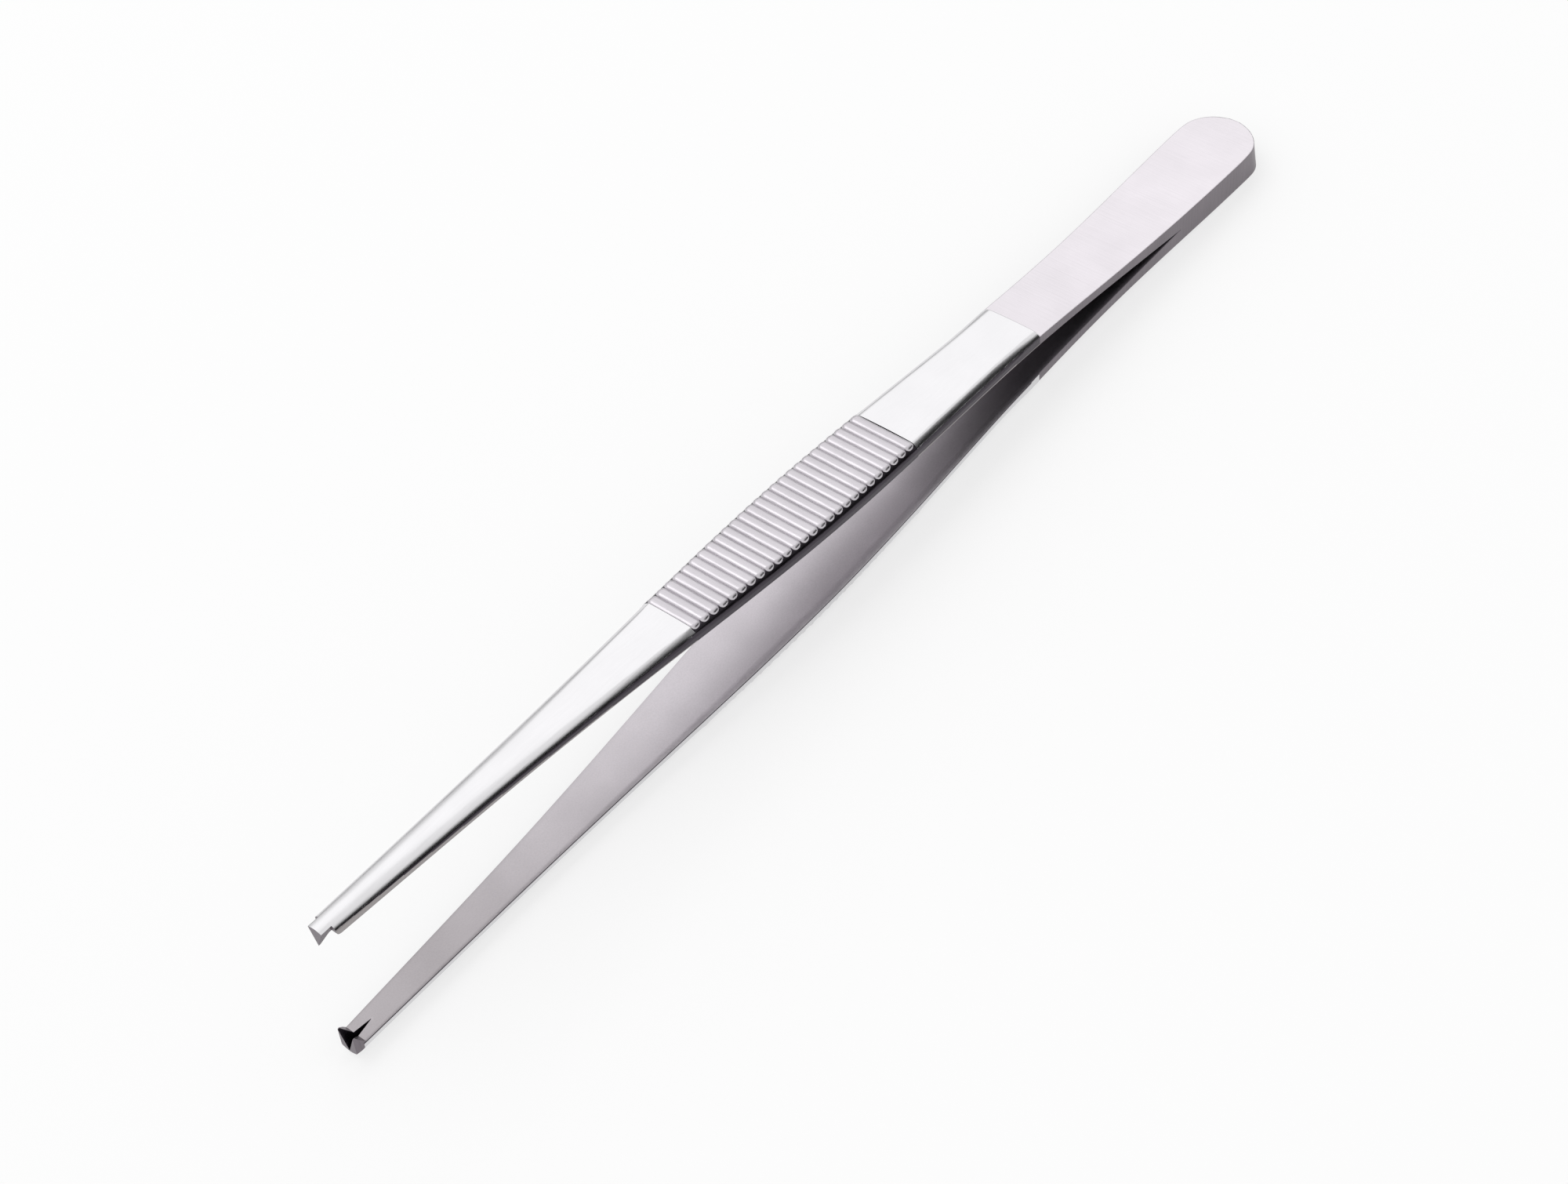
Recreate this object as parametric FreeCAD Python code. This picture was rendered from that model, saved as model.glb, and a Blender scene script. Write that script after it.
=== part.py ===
import FreeCAD, Part
import math
import os

from FreeCAD import Vector

# Toothed thumb forceps: two sprung steel arms, forged with ribbed finger grips and
# welded face to face at a rounded heel. The upper arm ends in one tooth and the lower
# arm in two, so that the single tooth closes between the pair.
#
# Lengths in millimetres. Each arm is drawn with its inner face towards z = 0, the plane
# of the weld. A "station" is a distance from the heel end, measured towards the tips,
# which lie at -X. At the end the pair is turned to lie on its lower arm, as on a tray.

# Lengths along an arm: heel and spring up to the step, shank up to the grip, and nose
# from the grip to the tip. The others are measured within these.
blade_length = 43.5
shank_length = 21.9
nose_length = 46.9
weld_length = 18.0
heel_flat_length = 13.5
grip_widest_place = 13.4
nose_bend_place = 20.7

# Grip: cross ribs that stand in a shallow bed and a hair proud of the crown, each a little
# wider than its pitch so that the bevels of neighbours meet in a groove
rib_count = 26
rib_pitch = 1.29
rib_lap = 0.04
rib_height = 0.28
rib_stand = 0.08
rib_root = 0.50
rib_bevel = 0.24
rib_end_bow = 0.36
rib_end_inset = 0.36

# Widths of an arm
heel_width = 9.0
heel_corner_radius = 3.3
spring_width = 7.65
step_width = 7.25
grip_width = 8.5
throat_width = 6.6
nose_width = 4.25
tip_width = 2.5

# Half of the gap between the arms at rest
step_gap = 2.05
grip_gap = 4.6
nose_gap = 6.9
tip_gap = 8.05
crotch_slope = 0.085

# Thickness of an arm
heel_thickness = 1.75
spring_thickness = 1.12
body_thickness = 1.65
bend_thickness = 1.50
tip_thickness = 1.35

# Rounded shoulders above a straight side wall
wall_height = 0.65
shoulder_at_step = 0.85
shoulder_width = 0.95
shoulder_run = 8.0
crown_width_at_tip = 0.70

# Tips: one tooth above, two below with a notch that the single tooth enters
tooth_height = 1.10
tooth_crest = 0.20
tooth_foot = 1.15
tooth_flank_angle = 20.0
flank_relief = 1.25
relief_round = 0.45
twin_tooth_height = 1.30
notch_clearance = 0.10
notch_length = 3.10
twin_flank_cut = 0.25
corner_cut_width = 0.30
corner_cut_length = 0.85

# Extra reach of a cutting or joining solid past the faces that it works on
past = 1.0

# How finely the curves are followed
outline_point_count = 9
step_section_count = 4
body_section_count = 8
rest_sample_count = 200

# Places that follow from the sizes
grip_length = rib_count * rib_pitch
spring_middle = (weld_length + blade_length) / 2
grip_start = blade_length + shank_length
grip_middle = grip_start + grip_length / 2
grip_end = grip_start + grip_length
nose_bend = grip_end + nose_bend_place
overall_length = grip_end + nose_length


def curve_through(stations, start_slope=None):
    """A smooth curve through (station, size) pairs, read back with size_at."""
    points = [Vector(station, size, 0) for station, size in stations]
    parameters = [station for station, size in stations]
    curve = Part.BSplineCurve()
    if start_slope is None:
        curve.interpolate(Points=points, Parameters=parameters)
    else:
        last, before = points[-1], points[-2]
        end_slope = (last.y - before.y) / (last.x - before.x)
        curve.interpolate(
            Points=points,
            Parameters=parameters,
            InitialTangent=Vector(1, start_slope, 0),
            FinalTangent=Vector(1, end_slope, 0),
            Scale=False,
        )
    return curve


def size_at(curve, station):
    return curve.value(station).y


width_curve = curve_through([
    (heel_corner_radius, heel_width),
    (spring_middle, spring_width),
    (blade_length, step_width),
    (grip_start + grip_widest_place, grip_width),
    (grip_end, throat_width),
    (nose_bend, nose_width),
    (overall_length, tip_width),
], 0.0)

gap_curve = curve_through([
    (weld_length, 0.0),
    (blade_length, step_gap),
    (grip_middle, grip_gap),
    (nose_bend, nose_gap),
    (overall_length, tip_gap),
], crotch_slope)

spring_curve = curve_through([
    (heel_flat_length, heel_thickness),
    (spring_middle, size_at(gap_curve, spring_middle) + spring_thickness),
    (blade_length, step_gap + spring_thickness),
], 0.0)

thickness_curve = curve_through([
    (blade_length, body_thickness),
    (grip_middle, body_thickness),
    (nose_bend, bend_thickness),
    (overall_length, tip_thickness),
])


def inner_height(station):
    return size_at(gap_curve, station)


def outer_height(station):
    return inner_height(station) + size_at(thickness_curve, station)


def half_width(station):
    return size_at(width_curve, station) / 2


def place(station, y, z):
    """A point given by its station, side and height."""
    return Vector(-station, y, z)


def ease(share):
    """Smooth step from 0 to 1."""
    share = min(max(share, 0.0), 1.0)
    return share * share * (3 - 2 * share)


def wall_at(station):
    """Height of the side wall, which is the blade's whole thickness at the step."""
    share = ease((station - blade_length) / shoulder_run)
    return spring_thickness + (wall_height - spring_thickness) * share


def shoulder_at(station):
    """Width of the rounded shoulder, which takes the whole top near the tip."""
    share = ease((station - blade_length) / shoulder_run)
    grown = shoulder_at_step + (shoulder_width - shoulder_at_step) * share
    return min(grown, half_width(station) - crown_width_at_tip / 2)


def shoulder_arc(side, station):
    """Arc from the top of the side wall to the crown, flat where it meets the crown."""
    half = half_width(station)
    low = inner_height(station) + wall_at(station)
    high = outer_height(station)
    run = shoulder_at(station)
    rise = high - low
    radius = (run ** 2 + rise ** 2) / (2 * rise)
    turn = math.atan2(run, radius - rise) / 2
    middle_y = half - run + radius * math.sin(turn)
    middle_z = high - radius * (1 - math.cos(turn))
    ends = [place(station, side * half, low), place(station, side * (half - run), high)]
    if side > 0:
        ends.reverse()
    return Part.Arc(ends[0], place(station, side * middle_y, middle_z), ends[1]).toShape()


def body_section(station):
    """Flat inner face, two straight walls, two rounded shoulders and a flat crown."""
    half = half_width(station)
    base = inner_height(station)
    low = base + wall_at(station)
    high = outer_height(station)
    crown = half - shoulder_at(station)
    return Part.Wire([
        Part.makeLine(place(station, half, base), place(station, -half, base)),
        Part.makeLine(place(station, -half, base), place(station, -half, low)),
        shoulder_arc(-1, station),
        Part.makeLine(place(station, -crown, high), place(station, crown, high)),
        shoulder_arc(1, station),
        Part.makeLine(place(station, half, low), place(station, half, base)),
    ])


def line_through(points):
    """A smooth edge through the points."""
    line = Part.BSplineCurve()
    line.interpolate(points)
    return line.toShape()


def closed(edges):
    """The edges in order, as one closed outline."""
    return Part.Wire(Part.__sortEdges__(edges))


def stations_between(first, last, count):
    return [first + (last - first) * index / (count - 1) for index in range(count)]


def outline_edge(side, first, last):
    """One side of the plan outline, drawn on the weld plane."""
    spots = stations_between(first, last, outline_point_count)
    return line_through([place(spot, side * half_width(spot), 0) for spot in spots])


def height_edge(height, first, last):
    """A line of the side view, at the height that the given function returns."""
    spots = stations_between(first, last, outline_point_count)
    return line_through([place(spot, 0, height(spot)) for spot in spots])


def joined(*points):
    """Straight edges from each point to the next."""
    return [Part.makeLine(start, end) for start, end in zip(points, points[1:])]


def slab(edges, reach):
    """A solid from a side-view outline, as wide as the reach on each side."""
    face = Part.Face(closed(edges))
    face.translate(Vector(0, -reach, 0))
    return face.extrude(Vector(0, 2 * reach, 0))


def make_blade():
    """Heel and spring: a flat bar with a round end, thinned where it starts to bend."""
    reach = heel_width / 2 + past
    heel_top = place(0, 0, heel_thickness)
    heel_foot = place(0, 0, 0)
    crotch = place(weld_length, 0, 0)
    step_foot = place(blade_length, 0, step_gap)
    step_top = place(blade_length, 0, step_gap + spring_thickness)
    bend_top = place(heel_flat_length, 0, heel_thickness)
    side_view = joined(bend_top, heel_top, heel_foot, crotch)
    side_view.append(height_edge(inner_height, weld_length, blade_length))
    side_view += joined(step_foot, step_top)
    side_view.append(height_edge(lambda spot: size_at(spring_curve, spot), heel_flat_length, blade_length))
    radius = heel_corner_radius
    half = heel_width / 2
    middle = radius * (1 - math.sqrt(0.5))
    step_half = half_width(blade_length)
    plan = [
        outline_edge(1, radius, blade_length),
        outline_edge(-1, radius, blade_length),
        Part.makeLine(place(0, radius - half, 0), place(0, half - radius, 0)),
        Part.makeLine(place(blade_length, step_half, 0), place(blade_length, -step_half, 0)),
    ]
    for side in (-1, 1):
        start = place(radius, side * half, 0)
        end = place(0, side * (half - radius), 0)
        plan.append(Part.Arc(start, place(middle, side * (half - middle), 0), end).toShape())
    outline = Part.Face(closed(plan))
    outline.translate(Vector(0, 0, -past))
    tall = outline.extrude(Vector(0, 0, tip_gap))
    return slab(side_view, reach).common(tall)


def make_body():
    """From the step to the tip: a loft through sections that narrow and turn half round."""
    spots = stations_between(blade_length, blade_length + shoulder_run, step_section_count)
    spots += stations_between(blade_length + shoulder_run, overall_length, body_section_count)[1:]
    return Part.makeLoft([body_section(spot) for spot in spots], True)


def make_rib_bed():
    """What is milled off the crown to leave the floor between the ribs."""
    roof = outer_height(grip_end) + past
    floor = height_edge(lambda spot: outer_height(spot) - rib_height, grip_start, grip_end)
    walls = joined(
        place(grip_end, 0, outer_height(grip_end) - rib_height),
        place(grip_end, 0, roof),
        place(grip_start, 0, roof),
        place(grip_start, 0, outer_height(grip_start) - rib_height),
    )
    return slab([floor] + walls, grip_width / 2 + past)


def rib_outline(half, reach, bow, height):
    """Plan outline of a rib: straight sides and bowed ends."""
    corner = reach - bow
    near_left, near_right = Vector(-half, -corner, height), Vector(half, -corner, height)
    far_left, far_right = Vector(-half, corner, height), Vector(half, corner, height)
    return Part.Wire([
        Part.makeLine(near_right, far_right),
        Part.Arc(far_right, Vector(0, reach, height), far_left).toShape(),
        Part.makeLine(far_left, near_left),
        Part.Arc(near_left, Vector(0, -reach, height), near_right).toShape(),
    ])


def make_rib(index):
    """A bar across the crown with bowed ends and a bevelled rim."""
    spot = grip_start + (index + 0.5) * rib_pitch
    half = (rib_pitch + rib_lap) / 2
    reach = half_width(spot) - rib_end_inset
    foot = rib_outline(half, reach, rib_end_bow, -rib_height - rib_stand)
    crest = rib_outline(half - rib_bevel, reach - rib_bevel, rib_end_bow - rib_bevel / 2, 0)
    root = Part.Face(foot).extrude(Vector(0, 0, rib_height - rib_root))
    bar = Part.makeLoft([foot, crest], True, True).fuse(root)
    rise = outer_height(spot + half) - outer_height(spot - half)
    lean = math.degrees(math.atan2(rise, 2 * half))
    bar.rotate(Vector(0, 0, 0), Vector(0, 1, 0), lean)
    bar.translate(place(spot, 0, outer_height(spot) + rib_stand))
    return bar


def tip_point(back, side, inward):
    """A point near the tip: back from the end, to the side, and towards the other arm."""
    return place(overall_length - back, side, tip_gap - inward)


def tip_slab(corners, reach):
    """A solid across the tip from (back, inward) corners."""
    points = [tip_point(back, 0, inward) for back, inward in corners]
    return slab(joined(*points, points[0]), reach)


def tip_prism(corners, reach):
    """A solid along the arm from (side, inward) corners, from the end back by the reach."""
    points = [tip_point(-past, side, inward) for side, inward in corners]
    face = Part.Face(Part.makePolygon(points + points[:1]))
    return face.extrude(Vector(past + reach, 0, 0))


def make_corner_cuts():
    """Two slivers off the corners of the tip, seen in plan."""
    front = half_width(overall_length) - corner_cut_width
    back = half_width(overall_length - corner_cut_length)
    lean = (back - front) / corner_cut_length
    cuts = []
    for side in (-1, 1):
        corners = [
            tip_point(-past, side * (front - lean * past), -body_thickness - past),
            tip_point(corner_cut_length + past, side * (back + lean * past), -body_thickness - past),
            tip_point(-past, side * (back + lean * past), -body_thickness - past),
        ]
        face = Part.Face(Part.makePolygon(corners + corners[:1]))
        cuts.append(face.extrude(Vector(0, 0, -2 * past - body_thickness - tooth_height)))
    return cuts


def make_single_tip(arm):
    """One tooth: the flanks are ground away and the middle runs on as a pointed tooth."""
    reach = tip_width
    slant = math.tan(math.radians(tooth_flank_angle))
    root = -body_thickness - past
    wedge = tip_prism([
        (0, tooth_height),
        (slant * (tooth_height - root), root),
        (-slant * (tooth_height - root), root),
    ], flank_relief + relief_round + past)
    corner = math.sqrt(0.5) * relief_round
    start = tip_point(flank_relief, 0, -relief_round)
    middle = tip_point(flank_relief + relief_round - corner, 0, corner - relief_round)
    end = tip_point(flank_relief + relief_round, 0, 0)
    outline = joined(
        end,
        tip_point(flank_relief + relief_round, 0, past),
        tip_point(-past, 0, past),
        tip_point(-past, 0, root),
        tip_point(flank_relief, 0, root),
        start,
    )
    outline.append(Part.Arc(start, middle, end).toShape())
    relief = slab(outline, reach).cut(wedge)
    tooth = tip_slab([
        (0, -relief_round),
        (0, tooth_height),
        (tooth_crest, tooth_height),
        (tooth_foot, 0),
        (tooth_foot, -relief_round),
    ], reach).common(wedge)
    return arm.cut(relief).fuse(tooth).cut(make_corner_cuts()).removeSplitter()


def make_twin_tip(arm):
    """Two teeth: a raised end split by a notch that runs out along the inner face."""
    half = half_width(overall_length)
    slant = math.tan(math.radians(tooth_flank_angle))
    raised = tip_slab([
        (0, -relief_round),
        (0, twin_tooth_height),
        (tooth_crest, twin_tooth_height),
        (tooth_foot, 0),
        (tooth_foot, -relief_round),
    ], half)
    bottom = -tooth_height - notch_clearance
    height = twin_tooth_height + past - bottom
    run_out = tip_gap - inner_height(overall_length - notch_length)
    lean = (run_out - bottom) / notch_length
    corners = [
        tip_point(-past, 0, bottom - lean * past),
        tip_point(-past, slant * height, bottom - lean * past + height),
        tip_point(-past, -slant * height, bottom - lean * past + height),
    ]
    length = notch_length + 2 * past
    notch = Part.Face(Part.makePolygon(corners + corners[:1])).extrude(Vector(length, 0, -lean * length))
    flanks = []
    for side in (-1, 1):
        flanks.append(tip_prism([
            (side * half, -relief_round),
            (side * (half - twin_flank_cut), twin_tooth_height),
            (side * (half - twin_flank_cut), twin_tooth_height + past),
            (side * (half + past), twin_tooth_height + past),
            (side * (half + past), -relief_round),
        ], tooth_foot))
    return arm.fuse(raised).cut([notch] + flanks + make_corner_cuts()).removeSplitter()


def make_arm():
    arm = make_blade().fuse(make_body()).cut(make_rib_bed())
    return arm.fuse([make_rib(index) for index in range(rib_count)]).removeSplitter()


def rest_angle():
    """Turn about the heel end that brings the lower arm down on its heel and its grip."""
    angles = []
    for spot in stations_between(blade_length, overall_length, rest_sample_count):
        on_ribs = grip_start + rib_bevel < spot < grip_end - rib_bevel
        height = outer_height(spot) + (rib_stand if on_ribs else 0)
        angles.append(math.degrees(math.atan2(height - heel_thickness, spot)))
    return max(angles)


def lay_down(shapes):
    """Turn the pair onto its lower arm and set it on z = 0, centred over the origin."""
    angle = rest_angle()
    for shape in shapes:
        shape.rotate(Vector(0, 0, 0), Vector(0, 1, 0), angle)
    box = Part.makeCompound(shapes).optimalBoundingBox(True, False)
    for shape in shapes:
        shape.translate(Vector(-box.Center.x, -box.Center.y, -box.ZMin))


def main():
    os.makedirs("parts", exist_ok=True)
    plain_arm = make_arm()
    upper_arm = make_single_tip(plain_arm)
    lower_arm = make_twin_tip(plain_arm).mirror(Vector(0, 0, 0), Vector(0, 0, 1))
    lay_down([upper_arm, lower_arm])
    upper_arm.exportStep("parts/upper_arm.step")
    lower_arm.exportStep("parts/lower_arm.step")
    for name, arm in (("upper_arm", upper_arm), ("lower_arm", lower_arm)):
        box = arm.optimalBoundingBox(True, False)
        print(name, arm.isValid(), len(arm.Solids), len(arm.Faces), round(arm.Volume, 2))
        print(round(box.XMin, 3), round(box.XMax, 3), round(box.ZMin, 3), round(box.ZMax, 3))


main()
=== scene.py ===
import math

import bmesh
import bpy
import numpy as np
from bpy.props import FloatProperty, FloatVectorProperty, IntProperty, PointerProperty
from mathutils import Matrix, Vector


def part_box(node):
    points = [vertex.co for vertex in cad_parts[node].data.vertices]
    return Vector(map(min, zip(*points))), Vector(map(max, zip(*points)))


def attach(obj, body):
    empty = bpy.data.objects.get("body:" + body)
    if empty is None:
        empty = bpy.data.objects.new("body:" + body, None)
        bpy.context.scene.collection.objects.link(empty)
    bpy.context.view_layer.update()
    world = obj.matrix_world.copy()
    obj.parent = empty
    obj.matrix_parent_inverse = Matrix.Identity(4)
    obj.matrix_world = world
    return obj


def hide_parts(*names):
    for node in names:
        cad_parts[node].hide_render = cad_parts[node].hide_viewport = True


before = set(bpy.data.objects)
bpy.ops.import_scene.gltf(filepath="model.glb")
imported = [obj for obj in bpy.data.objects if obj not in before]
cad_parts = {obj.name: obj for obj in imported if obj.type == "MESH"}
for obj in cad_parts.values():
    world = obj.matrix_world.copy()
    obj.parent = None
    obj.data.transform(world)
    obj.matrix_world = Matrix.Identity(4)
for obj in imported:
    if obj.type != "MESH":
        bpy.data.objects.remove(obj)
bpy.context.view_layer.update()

bl_info = {
    "name": "Toothed Thumb Forceps",
    "version": (1, 0, 0),
    "blender": (4, 5, 0),
    "location": "3D View > Sidebar > Forceps",
    "description": "Two sprung steel arms with ribbed grips and toothed tips, and a plain studio",
    "category": "Object",
}

MM = 0.001
# Two places closer than this count as one
SLACK = 0.02 * MM
# How far a cutting tool reaches past the metal
PAST = 1.0 * MM
# Share of a quarter round's radius at which a guide corner makes the smoothed surface follow it
ROUND_GUIDE = 0.432
# Corners of the flat blade's top, as shares of half its width: closer together near the edge
BLADE_TOP = (1.0, 0.9, 0.75, 0.5)
# How deep a tooth is rooted, as a share of the tip's thickness. It clears the bar's own edges.
TOOTH_ROOT = 0.37
# Places of the colour sockets on a Mix node, which has sockets of the same name for numbers
MIX_SHARE, MIX_A, MIX_B, MIX_RESULT = 0, 6, 7, 2
# Edges that turn more than the first are bevelled, and more than the second shaded sharp
SHARP_TURN = math.radians(30)
CRISP_TURN = math.radians(28)

# The arm is extruded from ring to ring. A ring has these corners on each side,
# and one in the middle of the crown: inner edge, top of the side wall, two that guide the
# rounded shoulder, edge of the crown.
INNER, WALL, SHOULDER_LOW, SHOULDER_HIGH, CROWN = range(5)

# Material slots of an arm. The cuts that shape the teeth leave the first one on their faces.
# The last slot is no finish of its own: it is painted shade, a dark tone for sideways faces, the bed of the
# ribs and the notch.
EDGE, SATIN, HEEL, STRIP, POLISH, RIBS, SIDE_IN_PAINTED_SHADE = range(7)


def linear(code):
    """A hex colour as written for a screen, turned to linear light."""
    values = [int(code[place:place + 2], 16) / 255 for place in (1, 3, 5)]
    return tuple(v / 12.92 if v <= 0.04045 else ((v + 0.055) / 1.055) ** 2.4 for v in values)


def length(name, description, millimetres):
    return FloatProperty(name=name, description=description, default=millimetres * MM,
                         unit="LENGTH", precision=5)


def colour(name, description, code):
    return FloatVectorProperty(name=name, description=description, default=linear(code),
                               subtype="COLOR", size=3)


class ForcepsSizes(bpy.types.PropertyGroup):
    blade_length: length("Blade length", "Heel and spring, from the heel end to the step", 43.5)
    shank_length: length("Shank length", "From the step to the grip", 21.9)
    nose_length: length("Nose length", "From the grip to the tip", 46.9)
    weld_length: length("Weld length", "How far the arms are joined, from the heel end", 18.0)
    heel_flat_length: length("Heel flat", "Full thickness at the heel before it thins", 13.5)
    grip_widest_place: length("Widest place", "From the start of the grip to its widest place", 13.4)
    nose_bend_place: length("Nose bend", "From the end of the grip to the bend of the nose", 20.7)
    heel_width: length("Heel width", "Width across the heel", 9.0)
    heel_corner: length("Heel corner", "Radius of the heel's corners seen from above", 3.3)
    spring_width: length("Spring width", "Width halfway along the spring", 7.65)
    step_width: length("Step width", "Width at the step", 7.25)
    grip_width: length("Grip width", "Width at the widest place of the grip", 8.5)
    throat_width: length("Throat width", "Width where the grip ends", 6.6)
    nose_width: length("Nose width", "Width at the bend of the nose", 4.25)
    tip_width: length("Tip width", "Width at the tip", 2.5)
    step_gap: length("Step gap", "Half of the gap between the arms at the step", 2.05)
    grip_gap: length("Grip gap", "Half of the gap at the middle of the grip", 4.6)
    nose_gap: length("Nose gap", "Half of the gap at the bend of the nose", 6.9)
    tip_gap: length("Tip gap", "Half of the gap at the tips", 8.05)
    crotch_slope: FloatProperty(name="Crotch slope", description="How steeply the arms part", default=0.085)
    heel_thickness: length("Heel thickness", "Thickness of one arm at the heel", 1.75)
    spring_thickness: length("Spring thickness", "Thickness of one arm in the spring", 1.12)
    body_thickness: length("Body thickness", "Thickness from the step to the grip", 1.65)
    bend_thickness: length("Bend thickness", "Thickness at the bend of the nose", 1.50)
    tip_thickness: length("Tip thickness", "Thickness at the tip", 1.35)
    wall_height: length("Wall height", "Straight side wall under the rounded shoulder", 0.65)
    shoulder_at_step: length("Shoulder at step", "Width of the shoulder where it starts", 1.05)
    shoulder_width: length("Shoulder width", "Width of the rounded shoulder", 1.15)
    shoulder_run: length("Shoulder run", "Length over which the shoulder takes shape", 8.0)
    crown_at_tip: length("Crown at tip", "Flat that is left between the shoulders at the tip", 0.70)
    body_crown_slope: FloatProperty(name="Body crown slope", default=0.05,
                                    description="Slope at the edge of the body's crown")
    nose_crown_slope: FloatProperty(name="Nose crown slope", default=0.30,
                                    description="The same on the nose, which is half round")
    strip_at_body: length("Strip at body", "How high the satin strip stands on the side of the body", 0.16)
    strip_at_tip: length("Strip at tip", "How high it stands at the tip", 0.85)
    # Painted shade: how high a thin dark line is painted low on the lower arm's polished side.
    painted_shade_line: length("Dark line", "What is left dark of the lower arm's polished side", 0.20)
    edge_round: length("Edge round", "Radius that tumbling leaves on the sharp edges", 0.07)
    rib_count: IntProperty(name="Ribs", description="Cross ribs on a grip", default=26)
    rib_pitch: length("Rib pitch", "From one rib to the next", 1.29)
    bed_inset: length("Bed inset", "How far the bed's rim lies inside the shoulder", 0.10)
    rib_lap: length("Rib lap", "How far the feet of neighbours overlap", 0.04)
    rib_height: length("Rib height", "From the floor of the bed to the crown", 0.28)
    rib_stand: length("Rib stand", "How far the ribs stand over the crown", 0.08)
    rib_root: length("Rib root", "How deep a rib is set in the arm", 0.50)
    rib_round: length("Rib round", "How far in from its rim a rib starts to fall away", 0.50)
    rib_drop: length("Rib drop", "How deep it has fallen away at the rim", 0.33)
    rib_end_inset: length("Rib end inset", "From the side of the arm to the end of a rib", 0.36)
    tooth_height: length("Tooth height", "Of the single tooth, over the inner face", 1.10)
    tooth_crest: length("Tooth crest", "Flat along the top of a tooth", 0.20)
    tooth_foot: length("Tooth foot", "From the tip to the back of a tooth", 1.15)
    tooth_flank: FloatProperty(name="Tooth flank", description="Slant of a tooth's flank",
                               default=math.radians(20.0), subtype="ANGLE")
    flank_relief: length("Flank relief", "How far back the flanks of the single tooth are ground", 1.25)
    relief_round: length("Relief round", "Radius where that grinding ends", 0.45)
    twin_height: length("Twin height", "Of the two teeth, over the inner face", 1.30)
    twin_flank_cut: length("Twin flank cut", "How far the outer flanks of the two teeth lean in", 0.25)
    notch_clearance: length("Notch clearance", "Room under the single tooth when closed", 0.10)
    notch_length: length("Notch length", "How far back the notch runs out", 3.10)
    corner_cut_width: length("Corner cut width", "Sliver off the tip's corner, across", 0.30)
    corner_cut_length: length("Corner cut length", "Sliver off the tip's corner, along", 0.85)
    lean: FloatProperty(name="Lean", description="Turn that lays the pair on its lower arm",
                        default=math.asin(0.056668), subtype="ANGLE")


class SteelColours(bpy.types.PropertyGroup):
    # The three satin tones paint light and shade along the inner faces: lighter along grip and body, darker
    # near the teeth, darkest in the crotch between the arms.
    satin: colour("Satin", "Blasted inner faces", "#CAC5CA")
    satin_tip: colour("Satin at the tip", "The same near the teeth, where grinding dulled it", "#A8A3A6")
    satin_crotch_painted_shade: colour("Satin in the crotch", "The same near the weld", "#757076")
    # Belt ground steel whose darker tone is partly painted shade on the sides
    edge: colour("Edge", "Belt-ground side of heel and spring, and teeth", "#857E84")
    strip: colour("Strip", "Satin side strip of body and nose", "#A49F9F")
    heel: colour("Heel", "Brushed heel and spring", "#E2DDE2")
    polish: colour("Polish", "Polished body and nose", "#E0DFE1")
    ribs: colour("Ribs", "Coined ribs of the grip", "#CAC6CB")
    # Painted shade: a dark tone for the sides, the bed of the ribs and the notch, standing in for shade and
    # dark reflections there.
    side_painted_shade: colour("Dark side", "Side of grip and body, bed of the ribs and notch", "#4C474E")


class StudioSettings(bpy.types.PropertyGroup):
    floor_size: FloatProperty(name="Floor", description="Side of the square floor", default=3.0,
                              unit="LENGTH")
    floor_colour: colour("Floor colour", "Paper that the forceps lie on", "#ECECEC")
    floor_glow: FloatProperty(name="Floor glow", default=0.62, subtype="FACTOR",
                              description="Share of even white in the paper as it is seen")
    card_distance: FloatProperty(name="Card distance", description="From the forceps to the cards",
                                 default=0.8, unit="LENGTH")
    lens: FloatProperty(name="Lens", description="Focal length for a 36 mm wide frame", default=65.09)


def smooth_line(points, start_slope=None, end_slope=None):
    """A smooth curve through (station, size) pairs, read by calling it with a station."""
    x, y = np.array(points).T
    step = np.diff(x)
    slope = np.diff(y) / step
    count = len(x)
    system = np.eye(count)
    known = np.zeros(count)
    known[0] = slope[0] if start_slope is None else start_slope
    known[-1] = slope[-1] if end_slope is None else end_slope
    for i in range(1, count - 1):
        system[i, i - 1:i + 2] = step[i], 2 * (step[i - 1] + step[i]), step[i - 1]
        known[i] = 3 * (step[i] * slope[i - 1] + step[i - 1] * slope[i])
    tangent = np.linalg.solve(system, known)

    def read(station):
        i = int(np.clip(np.searchsorted(x, station) - 1, 0, count - 2))
        t = (station - x[i]) / step[i]
        ahead = t * t * (3 - 2 * t)
        bend = step[i] * (tangent[i] * t * (1 - t) ** 2 - tangent[i + 1] * t * t * (1 - t))
        return float(y[i] * (1 - ahead) + y[i + 1] * ahead + bend)

    return read


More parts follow.
